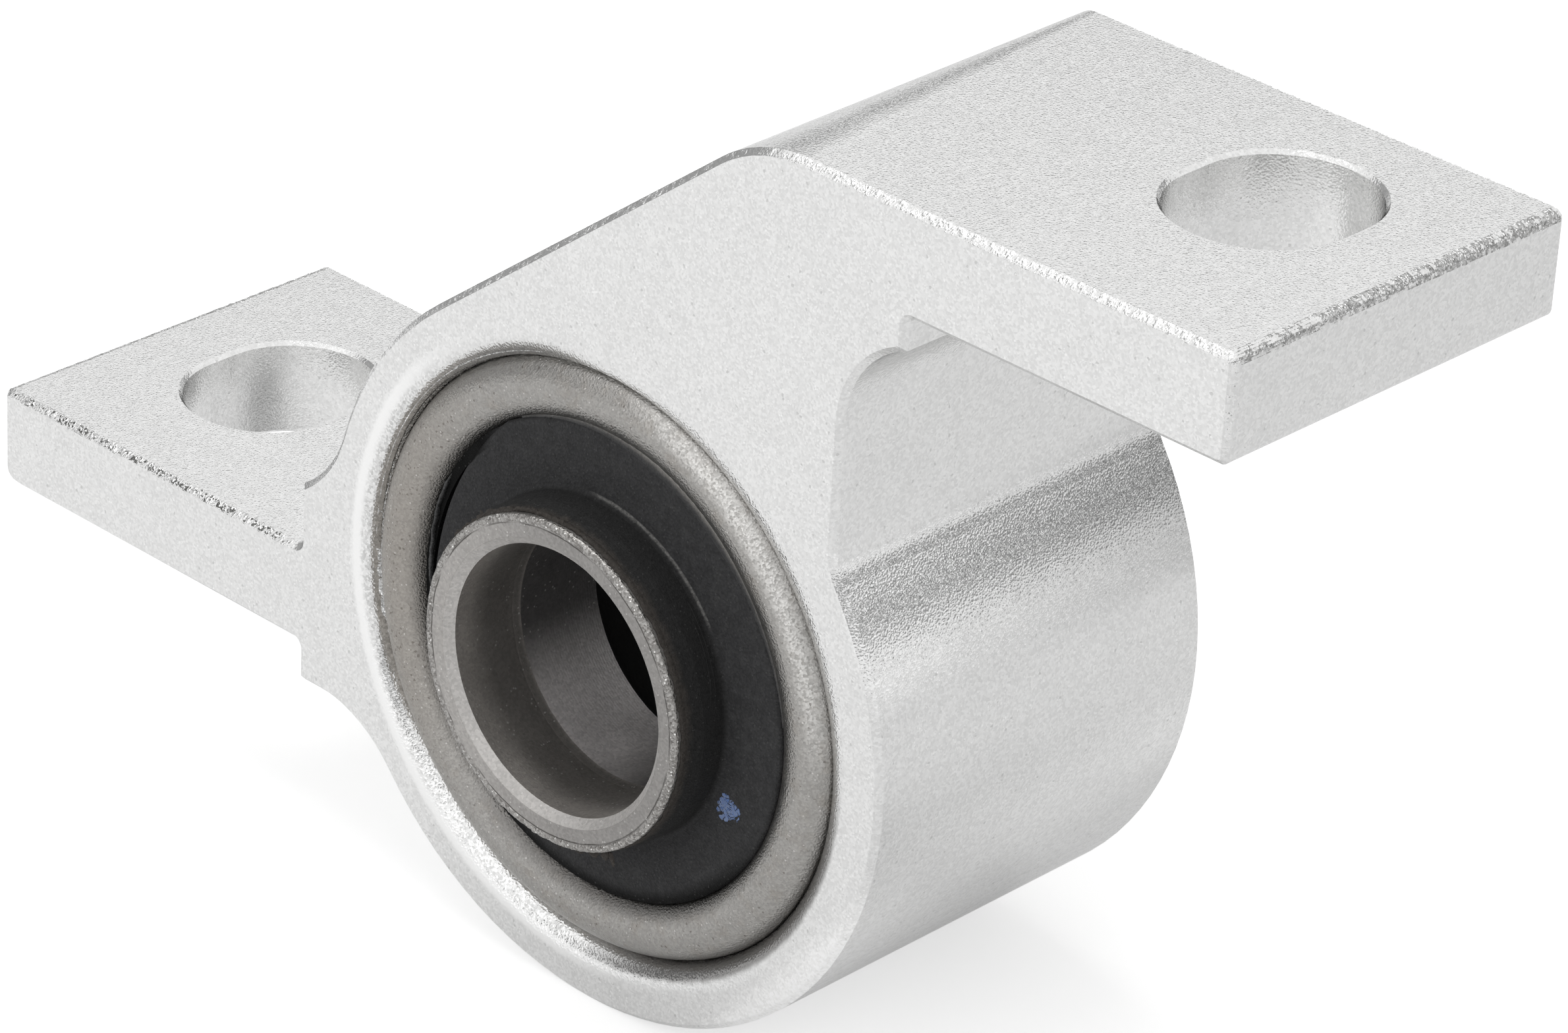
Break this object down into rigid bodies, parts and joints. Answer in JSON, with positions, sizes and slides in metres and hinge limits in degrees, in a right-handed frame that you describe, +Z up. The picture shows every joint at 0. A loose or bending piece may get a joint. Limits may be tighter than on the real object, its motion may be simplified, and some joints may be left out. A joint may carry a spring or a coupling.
{
  "type": "rubber metal bush",
  "caption": "Pivot bush: rubber ring bonded between two steel sleeves, pressed into an aluminium bracket with a high and a low slotted ear.",
  "frame": {"origin": "centre of the pin bore, halfway through the bracket", "axes": "+Y along the bore towards the back, +X along the ears towards the high ear, +Z up, square to the ears' top faces"},
  "size_m": [0.1422, 0.0506, 0.0874],
  "materials": {
    "bracket": "shot-blasted, fine bright grain, rough bevels",
    "outer_sleeve": "satin grey-brown, fine mottled grain",
    "rubber": "moulded, matt, with a small blue paint mark on the front ring face",
    "inner_sleeve": "turned, satin, light end face"
  },
  "bodies": {
    "root": {"bracket": "bracket", "outer_sleeve": "outer_sleeve", "rubber": "rubber", "inner_sleeve": "inner_sleeve"}
  },
  "joints": []
}
